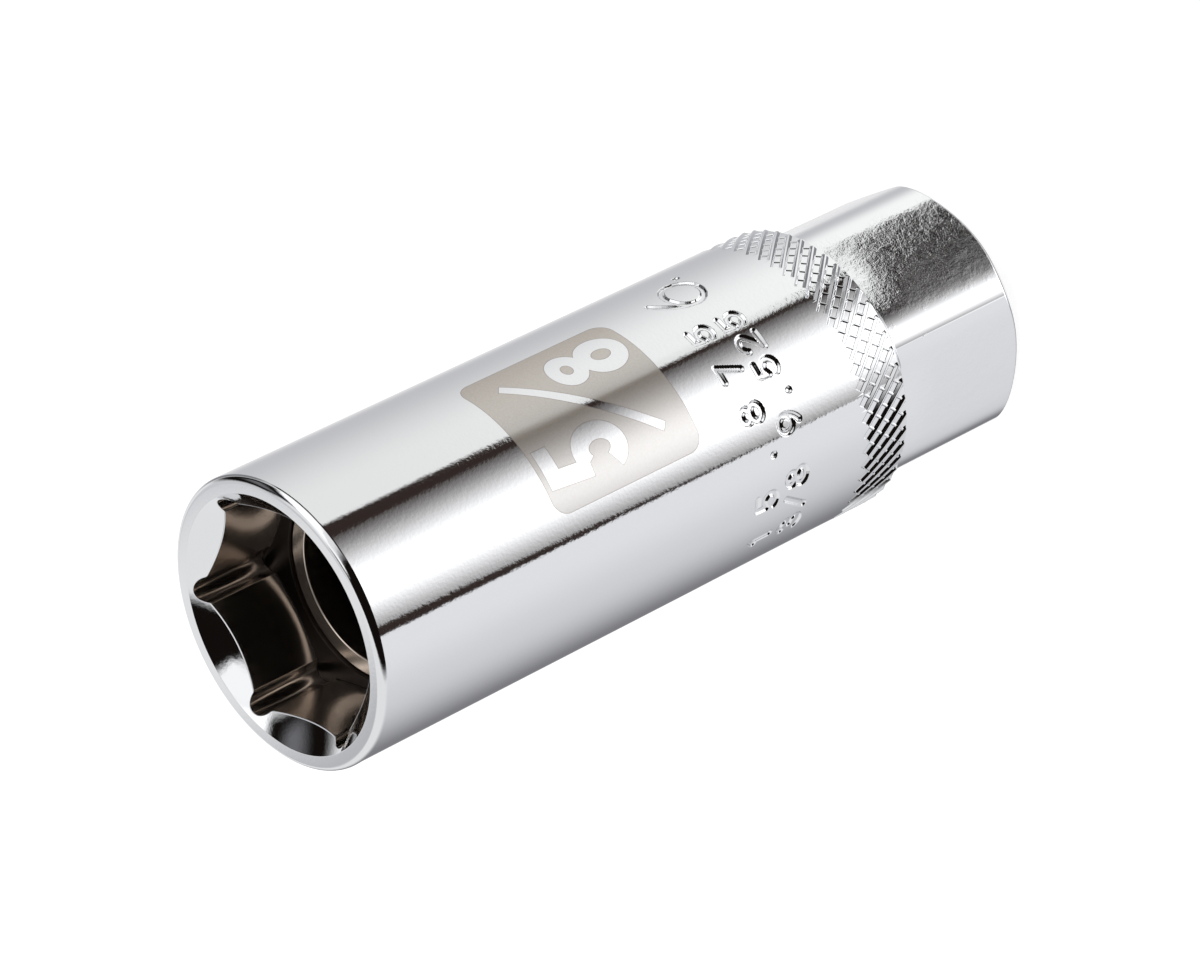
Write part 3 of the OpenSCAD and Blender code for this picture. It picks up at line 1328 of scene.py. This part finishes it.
@dataclass
class DriveEnd:
    """Hexagonal drive end with its crown, end face, countersunk square hole and detent dimples."""

    half: float = 9.525
    rounding: float = 4.4
    shoulder: float = DRIVE_LEN - BACK_BEVEL
    shoulder_r: float = BODY_R - BACK_BEVEL
    end_bevel: float = 1.45
    crown_round: float = 13.6
    end_blend: float = 0.16
    shoulder_fillet: float = 0.14
    corner_polish: float = 2.0
    flat_crown: float = 1.7
    shoulder_twist: float = 5.0
    twist_fade: Span = (0.04, 0.36)
    square_half: float = 4.8125
    square_round: float = 0.4
    square_depth: float = 11.5
    countersink_reach: float = 0.3
    countersink_round: float = 8.6
    detent_d: float = 4.0
    detent_depth: float = 0.7
    detent_height: float = 5.5
    bore_r: float = 5.8

    @property
    def end_r(self) -> float:
        """Radius of the end face."""
        return (self.half - self.rounding) / np.cos(np.pi / 6) + self.rounding - self.end_bevel

    def crown_height(self, radius: np.ndarray) -> np.ndarray:
        """Height of the turned crown at a distance from the axis."""
        rise = np.sqrt(self.crown_round ** 2 - self.end_r ** 2)
        return rise - np.sqrt(self.crown_round ** 2 - np.square(radius))

    def build(self, skin: Skin, above: Loop) -> Loop:
        """Adds the drive end, from the shoulder round the end face and up the square hole to the bore.

        Args:
            skin: Mesh that gets it.
            above: Loop at the bottom of the bevel behind the knurl.

        Returns:
            The first loop of the bore.
        """
        shape = Outline.rounded(6, self.half, self.rounding, 16, 24, self.corner_polish, self.flat_crown)
        angle, radius, facing = shape.angle, shape.radius, shape.facing
        fillet = self.shoulder_fillet

        def under(r: np.ndarray) -> np.ndarray:
            """Height of the body's underside at a radius."""
            return self.shoulder + np.maximum(0, r - self.shoulder_r)

        foot = under(radius)
        edge_r, inner_r = np.maximum(self.shoulder_r, radius + 1.6 * fillet), radius + fillet
        ledge = skin.loop(angle, edge_r, under(edge_r), None, np.radians(-60))
        tilt = np.where(inner_r < self.shoulder_r, np.radians(-88), np.radians(-50))
        inner = skin.loop(angle, inner_r, under(inner_r), None, tilt)
        skin.join(above, ledge, Finish.CHROME)
        skin.join(ledge, inner, Finish.CHROME)
        crown = self.crown_height(radius)
        # Next to the shoulder the flats are polished less and face a little aside; the corners don't
        twist = np.radians(self.shoulder_twist) * np.cos(3 * angle) ** 2
        wall = [skin.loop(angle, radius, foot - fillet + (crown + self.end_blend - foot + fillet) * share,
                          facing + twist * (1 - smooth(*self.twist_fade, np.array(share))))
                for share in np.linspace(0, 1, 14)]
        skin.join(inner, wall[0], Finish.CHROME)
        skin.chain(wall, Finish.FORGED)
        blend = np.minimum(self.end_blend, 0.45 * (radius - self.end_r))
        first = radius - blend
        slope = -np.arccos(first / self.crown_round)
        turned = []
        for share in np.linspace(0, 1, 6)[1:]:
            r = radius - blend * share ** 2
            fall = (self.crown_height(first) - crown) * share ** 2
            height = crown + self.end_blend * (1 - share) ** 2 + fall
            turned.append(skin.loop(angle, r, height, facing + (angle - facing) * share, slope * share))
        for share in (0.5, 1.0):
            r = first + (self.end_r + EDGE - first) * share
            turned.append(skin.loop(angle, r, self.crown_height(r), None, -np.arccos(r / self.crown_round)))
        skin.chain([wall[-1]] + turned[:2], Finish.FORGED)
        skin.chain(turned[1:], Finish.CHROME)
        face = skin.loop(angle, self.end_r - EDGE, 0.0, None, -np.pi / 2)
        skin.join(turned[-1], face, Finish.CHROME)
        return self.square_hole(skin, face)

    def square_hole(self, skin: Skin, face: Loop) -> Loop:
        """Adds the countersink, the square hole with its dimples, and the step into the bore.

        Args:
            skin: Mesh that gets it.
            face: Outer loop of the end face.

        Returns:
            The first loop of the bore.
        """
        shape = Outline.rounded(4, self.square_half, self.square_round, 48, 6)
        angle, radius = shape.angle, shape.radius
        axis, inwards = angle + np.pi, shape.facing + np.pi
        rim = self.square_half * np.sqrt(2) + self.countersink_reach
        drop = np.sqrt(self.countersink_round ** 2 - rim ** 2)

        def sink_loop(r: np.ndarray) -> Loop:
            """Loop on the countersink at a radius."""
            tilt = -np.arccos(r / self.countersink_round)
            return skin.loop(angle, r, np.sqrt(self.countersink_round ** 2 - r ** 2) - drop, axis, tilt)

        edge = skin.loop(angle, rim + EDGE, 0.0, None, -np.pi / 2)
        sink = [sink_loop(rim - EDGE + (radius - rim + 2 * EDGE) * share) for share in (0.0, 0.5, 1.0)]
        skin.chain([face, edge] + sink, Finish.CHROME)
        foot = np.sqrt(self.countersink_round ** 2 - radius ** 2) - drop + EDGE
        top = self.square_depth - EDGE
        ball = self.detent_d / 2
        centre = self.square_half + self.detent_depth - ball
        quarter = np.round(shape.facing / (np.pi / 2)) * np.pi / 2
        lateral = radius * np.sin(angle - quarter)
        on_flat = np.abs(np.sin(2 * shape.facing)) < 1e-6
        rows = []
        for share in np.linspace(0, 1, 33):
            height = foot + (top - foot) * share
            room = ball ** 2 - lateral ** 2 - (height - self.detent_height) ** 2
            depth = centre + np.sqrt(np.maximum(room, 0)) - self.square_half
            sunk = (room > 0) & (depth > 0) & on_flat
            reach = np.where(sunk, depth, 0.0)
            x = radius * np.cos(angle) + reach * np.cos(quarter)
            y = radius * np.sin(angle) + reach * np.sin(quarter)
            level, _ = axes(inwards)
            bowl = np.stack([centre * np.cos(quarter) - x, centre * np.sin(quarter) - y,
                             self.detent_height - height], 1) / ball
            normals = np.where(sunk[:, None], bowl, level)
            rows.append(Loop(skin.add(np.stack([x, y, height], 1), normals), angle))
        skin.join(sink[-1], rows[0], Finish.NICKEL)
        skin.chain(rows, Finish.NICKEL)
        ledge_tilt = np.where(radius < self.bore_r, np.pi / 2, -np.pi / 2)
        room = self.bore_r - radius
        ledge = [skin.loop(angle, radius + room * share, self.square_depth, None, ledge_tilt)
                 for share in (0.1, 0.9)]
        bore = skin.loop(angle, self.bore_r, self.square_depth + EDGE, axis)
        return skin.chain([rows[-1]] + ledge + [bore], Finish.NICKEL)


@dataclass
class SocketBody:
    """One-piece plated steel body, as one closed skin."""

    mouth: PlugMouth = field(default_factory=PlugMouth)
    body: RoundBody = field(default_factory=RoundBody)
    drive: DriveEnd = field(default_factory=DriveEnd)

    def build(self) -> bpy.types.Object:
        """Makes the body's mesh.

        Returns:
            The body, which stands for its CAD node.
        """
        skin = Skin()
        angle = full_turn(144)
        axis = angle + np.pi
        seat = MAGNET_TOP - MAGNET_LEN
        up = np.pi / 2
        tube = [skin.loop(angle, self.drive.bore_r, seat - EDGE, axis),
                skin.loop(angle, self.drive.bore_r + EDGE, seat, None, up),
                skin.loop(angle, self.mouth.seat_r - EDGE, seat, None, up),
                skin.loop(angle, self.mouth.seat_r, seat + EDGE, axis),
                skin.loop(angle, self.mouth.seat_r, self.mouth.floor - EDGE, axis)]
        land = self.mouth.build(skin, tube[-1])
        bevel = self.body.build(skin, land)
        bore = self.drive.build(skin, bevel)
        # The bore and the magnet's seat take the nickel darkened with painted shade
        skin.chain([bore] + tube, Finish.SHADED_RECESS)
        finishes = (BrightChrome(), EtchedChrome(), EtchStain(), ForgedChrome(), NickelPlate(), ShadeDarkenedNickel())
        piece = skin.build("plated_body", [finish.material() for finish in finishes])
        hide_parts("socket_body")
        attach(piece, "root")
        return piece


@dataclass
class RingMagnet:
    """Ring magnet on its seat below the plug's hexagon, its face turned slightly hollow."""

    inner_r: float = 6.1
    outer_r: float = 7.2
    length: float = MAGNET_LEN
    top: float = MAGNET_TOP
    hollow: float = 0.15
    rounding: float = 0.1

    def build(self) -> bpy.types.Object:
        """Makes the ring.

        Returns:
            The ring, which stands for its CAD node.
        """
        skin = Skin()
        angle = full_turn(144)
        base, c = self.top - self.length, self.rounding
        fall = np.degrees(np.arctan2(self.hollow, self.outer_r - self.inner_r))
        corners = ((self.outer_r - c, self.top - c, 90 + fall, 0), (self.outer_r - c, base + c, 0, -90),
                   (self.inner_r + c, base + c, -90, -180),
                   (self.inner_r + c, self.top - self.hollow - c, 180, 90 + fall))
        loops = []
        for r, z, start, stop in corners:
            for turn in np.radians(np.linspace(start, stop, 5)):
                level, rise = np.cos(turn), np.sin(turn)
                facing = angle if level >= 0 else angle + np.pi
                tilt = np.arctan2(rise, abs(level))
                loops.append(skin.loop(angle, r + c * level, z + c * rise, facing, tilt))
        skin.chain(loops + loops[:1], Finish.CHROME)
        piece = skin.build("ring_magnet_plated", [TurnedNickel().material()])
        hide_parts("ring_magnet")
        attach(piece, "root")
        return piece


# Studio


@dataclass
class PhotoCamera:
    """Long lens at the photograph's viewing angle, turned so that the mouth points to the lower left."""

    target: tuple[float, float, float] = (-0.66, -0.07, 34.81)
    distance: float = 384.74
    angle: float = -83.878
    elevation: float = 35.885
    roll: float = -116.165
    lens: float = 160.21
    sensor: float = 36.0

    def build(self) -> bpy.types.Object:
        """Makes the scene's camera.

        Returns:
            The camera.
        """
        turn, rise, roll = np.radians((self.angle, self.elevation, self.roll))
        back = np.array([np.cos(rise) * np.cos(turn), np.cos(rise) * np.sin(turn), np.sin(rise)])
        level = np.cross(-back, (0, 0, 1))
        level /= np.linalg.norm(level)
        upright = np.cross(level, -back)
        right = np.cos(roll) * level + np.sin(roll) * upright
        up = np.cos(roll) * upright - np.sin(roll) * level
        data = bpy.data.cameras.new("photo_camera")
        data.lens, data.sensor_width, data.sensor_fit = self.lens, self.sensor, "HORIZONTAL"
        data.clip_start, data.clip_end = 0.01, 100.0
        camera = bpy.data.objects.new("photo_camera", data)
        place = (np.array(self.target) + back * self.distance) * MM
        rows = [[right[i], up[i], back[i], place[i]] for i in range(3)]
        camera.matrix_world = Matrix(rows + [[0, 0, 0, 1]])
        bpy.context.scene.collection.objects.link(camera)
        bpy.context.scene.camera = camera
        return camera


@dataclass(frozen=True)
class Card:
    """A soft-edged panel of the studio's tent, placed by direction and seen in the plating.

    Attributes:
        name: What the panel is.
        colour: Its colour.
        strength: Its brightness.
        left: Azimuths, from the camera's, where its left edge starts and is full; two pairs multiply.
        right: Azimuths where its right edge starts to fade and is gone.
        low: Elevations where its lower edge starts and is full.
        high: Elevations where its upper edge starts to fade and is gone.
        lean: Degrees by which its left and right sides close in for each degree above the studio's middle.
    """

    name: str
    colour: str
    strength: float
    left: tuple[Span, ...]
    right: tuple[Span, ...]
    low: tuple[Span, ...] = ()
    high: tuple[Span, ...] = ()
    lean: Span = (0.0, 0.0)


@dataclass
class Studio:
    """White tent of soft light with dark gaps towards the camera, over a pale floor.

    Attributes:
        floor_size: Side of the floor.
        floor_colour: Colour of the floor, which takes the shadow.
        floor_glow: Light that the floor adds towards the camera.
        front: Angle about the axis from which the cards' azimuths are measured.
        middle: Elevation from which the cards' lean is measured.
        back: Colour of the tent behind the cards.
        cards: Panels of the tent, each laid over those before it.
    """

    floor_size: float = 6000.0
    floor_colour: str = "#B0B0B0"
    floor_glow: str = "#ECECEC"
    front: float = -83.88
    middle: float = -36.0
    back: str = "#FBFBFC"
    cards: tuple[Card, ...] = (
        Card("right_wall", "#FDFDFB", 1.08, ((44.0, 47.0),), ((147, 183),)),
        Card("right_wall_low", "#FDFDFB", 1.34, ((50, 58),), ((75, 150),), (), ((-42, -33),)),
        Card("right_end", "#D3D3D6", 1.0, ((72, 150),), ((147, 183),)),
        Card("left_wall", "#F8F8FA", 1.08, ((-172, -166),), ((-38, -36),)),
        Card("left_middle", "#EDEDEF", 1.0, ((-172, -166),), ((-96, -52),)),
        Card("left_end", "#858589", 1.0, ((-172, -166),), ((-160, -88),)),
        Card("tent_floor", "#98989B", 1.0, (), (), (), ((-74, -56),)),
        Card("upper_tent", "#FAFAFA", 1.05, (), (), ((-24, 6),)),
        Card("upper_left_end", "#CFCFD2", 1.0, ((-179.5, -172),), ((-165, -150),), ((8, 20),), ((38, 48),)),
        Card("upper_right_end", "#E2E2E4", 1.0, ((130, 150),), ((169, 177),), ((8, 20),)),
        Card("side_softbox", "#FFFFFF", 1.5, ((40, 50),), ((84, 96),), ((-8, -2),), ((50, 56),)),
        Card("dark_rail", "#15110F", 1.0, ((18, 26),), ((92, 104),), ((-27, -25),), ((-14, -9),)),
        Card("grey_rail", "#8E8E91", 1.0, ((92, 112),), ((146, 160),), ((-27, -22),), ((-8, -2),)),
        Card("dark_boom", "#15110F", 1.0, ((18, 26),), ((92, 104),), ((72, 76),), ((80, 86),)),
        Card("dark_gap", "#3A302D", 1.0, ((-41.4, -39.8),), ((46.8, 50.0),), ((-80, -60),), ((-26, -24),)),
        Card("dark_mouth_edge", "#3A302D", 1.0, ((40, 44),), ((49.6, 53),), ((-36.2, -35),), ((-26, -24),)),
        Card("dark_rear_edge", "#3A302D", 1.0, ((40, 44),), ((48.6, 52),), ((-75, -60),), ((-38.6, -37.6),)),
        Card("dark_end_edge", "#1E1917", 1.0, ((40, 44),), ((55, 59),), ((-75, -60),), ((-39.4, -38.9),)),
        Card("front_panel", "#FFFFFF", 2.6, ((-53, 9.5), (-38.2, -36.4)), ((-16.3, 49.6), (41.3, 44.3)),
             ((-85, -60),), ((-31, -29),), (1.4, 1.13)),
        Card("dark_room", "#15110F", 1.0, ((-72, -56),), ((16, 34),), ((-29, -27),), ((84, 90),)),
        Card("top_softbox", "#FFFFFF", 1.27, ((8, 26),), ((84, 96),), ((50, 56),), ((68, 73),)),
        Card("dark_door", "#15110F", 1.0, ((82, 94),), ((134, 150),), ((-8, 4),), ((44, 54),)),
        Card("door_light", "#77777A", 1.0, ((96, 110),), ((112, 128),), ((8, 16),), ((34, 46),)),
    )

    def floor(self) -> bpy.types.Object:
        """Makes the floor: white to the camera, with the object's shadow; mirrors see the tent instead.

        Returns:
            The floor.
        """
        half = self.floor_size / 2 * MM
        corners = [(-half, -half, 0), (half, -half, 0), (half, half, 0), (-half, half, 0)]
        mesh = bpy.data.meshes.new("studio_floor")
        mesh.from_pydata(corners, [], [(0, 1, 2, 3)])
        floor = bpy.data.objects.new("studio_floor", mesh)
        bpy.context.scene.collection.objects.link(floor)
        material, tree, _ = new_material("matt_white_floor")
        path = add_node(tree, "ShaderNodeLightPath")
        matt = add_node(tree, "ShaderNodeBsdfDiffuse", {"Color": linear(self.floor_colour)})
        glow = add_node(tree, "ShaderNodeEmission",
                        {"Color": linear(self.floor_glow), "Strength": path.outputs["Is Camera Ray"]})
        both = add_node(tree, "ShaderNodeAddShader", {0: matt.outputs[0], 1: glow.outputs[0]})
        add_node(tree, "ShaderNodeOutputMaterial", {"Surface": both.outputs[0]})
        mesh.materials.append(material)
        floor.visible_glossy = False
        return floor

    @staticmethod
    def edge(tree: Tree, value: Socket, span: Span, falls: bool) -> Socket:
        """Adds one soft edge of a card.

        Args:
            tree: World's node tree.
            value: Azimuth or elevation in degrees.
            span: Where the edge starts and ends.
            falls: Whether the card ends there, rather than starts.

        Returns:
            How much of the card is there, from 0 to 1.
        """
        low, high = (1.0, 0.0) if falls else (0.0, 1.0)
        return add_node(tree, "ShaderNodeMapRange", {0: value, 1: span[0], 2: span[1], 3: low, 4: high},
                        interpolation_type="SMOOTHSTEP").outputs[0]

    def world(self) -> None:
        """Makes the tent as the world's light."""
        world = bpy.data.worlds.new("studio_tent")
        bpy.context.scene.world = world
        world.use_nodes = True
        tree = world.node_tree
        tree.nodes.clear()
        way = add_node(tree, "ShaderNodeTexCoord").outputs["Generated"]
        turned = add_node(tree, "ShaderNodeVectorRotate", {"Vector": way, "Angle": -np.radians(self.front)},
                          rotation_type="Z_AXIS").outputs[0]
        parts = add_node(tree, "ShaderNodeSeparateXYZ", {0: turned}).outputs
        azimuth = math(tree, "DEGREES", math(tree, "ARCTAN2", parts[1], parts[0]))
        elevation = math(tree, "DEGREES", math(tree, "ARCSINE", parts[2]))
        colour: Any = linear(self.back)
        for card in self.cards:
            rise = math(tree, "SUBTRACT", elevation, self.middle)
            left = math(tree, "MULTIPLY_ADD", rise, -card.lean[0], azimuth)
            right = math(tree, "MULTIPLY_ADD", rise, card.lean[1], azimuth)
            sides = ((left, card.left, False), (right, card.right, True),
                     (elevation, card.low, False), (elevation, card.high, True))
            share: Any = 1.0
            for value, spans, falls in sides:
                for span in spans:
                    share = math(tree, "MULTIPLY", share, self.edge(tree, value, span, falls))
            bright = tuple(card.strength * part for part in linear(card.colour)[:3]) + (1.0,)
            mix = add_node(tree, "ShaderNodeMix", {0: share, 6: colour, 7: bright}, data_type="RGBA")
            colour = mix.outputs[2]
        path = add_node(tree, "ShaderNodeLightPath")
        tent = add_node(tree, "ShaderNodeBackground", {"Color": colour})
        white = add_node(tree, "ShaderNodeBackground", {"Color": (1, 1, 1, 1)})
        both = add_node(tree, "ShaderNodeMixShader",
                        {0: path.outputs["Is Camera Ray"], 1: tent.outputs[0], 2: white.outputs[0]})
        add_node(tree, "ShaderNodeOutputWorld", {"Surface": both.outputs[0]})

    def build(self) -> None:
        """Makes the floor and the light."""
        self.floor()
        self.world()
        bpy.context.scene.view_settings.view_transform = "Standard"


def main() -> None:
    """Builds the pieces, the studio and the camera."""
    logging.basicConfig(level=logging.INFO, format="%(name)s: %(message)s")
    for part in (SocketBody(), RingMagnet()):
        piece = part.build()
        log.info("%s: %d faces, %d points", piece.name, len(piece.data.polygons), len(piece.data.vertices))
    Studio().build()
    PhotoCamera().build()


if __name__ == "__main__":
    main()
